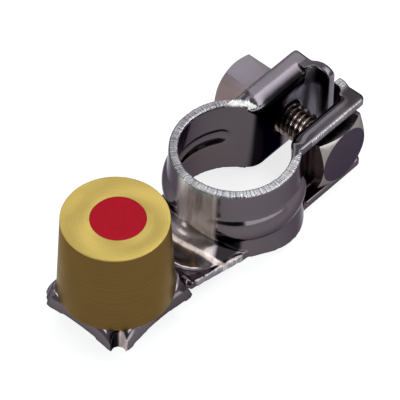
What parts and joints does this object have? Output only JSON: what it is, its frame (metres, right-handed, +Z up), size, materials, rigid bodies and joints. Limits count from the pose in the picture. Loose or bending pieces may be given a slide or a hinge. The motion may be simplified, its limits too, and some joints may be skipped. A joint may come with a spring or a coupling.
{
  "type": "battery terminal clamp",
  "caption": "Pressed steel battery post clamp with a beaded split ring, a square-head bolt and long hex nut across its ears, and a tapered brass post on its square end.",
  "frame": {"origin": "on the axis of the clamp ring, level with the ring's bottom edge", "axes": "+Z up the ring towards its small end, +X from the ring towards its two ears with the brass post at -X, +Y along the bolt from its head to the nut"},
  "size_m": [0.0626, 0.0274, 0.0232],
  "materials": {
    "nickel": "dark bright nickel plate",
    "brass": "machined",
    "screw_steel": "zinc plate",
    "red_enamel": "enamel",
    "bolt_steel": "dark plated"
  },
  "bodies": {
    "strap": {"clamp_strap": "nickel", "brass_post": "brass", "post_screw": "screw_steel", "red_mark": "red_enamel"},
    "bolt": {"clamp_bolt": "bolt_steel"},
    "nut": {"clamp_nut": "bolt_steel"}
  },
  "joints": [
    {"name": "nut_turn", "type": "hinge", "parent": "strap", "child": "nut", "pos_m": [0.017, 0.0046, 0.0079], "axis": [0, 1, 0], "range_deg": [0, 1083]},
    {"name": "bolt_slide", "type": "slide", "parent": "strap", "child": "bolt", "axis": [0, -1, 0], "range_m": [0, 0.003]}
  ],
  "couplings": [
    {"joint": "nut_turn", "follows": "bolt_slide", "rad_per_m": 6283.2}
  ]
}
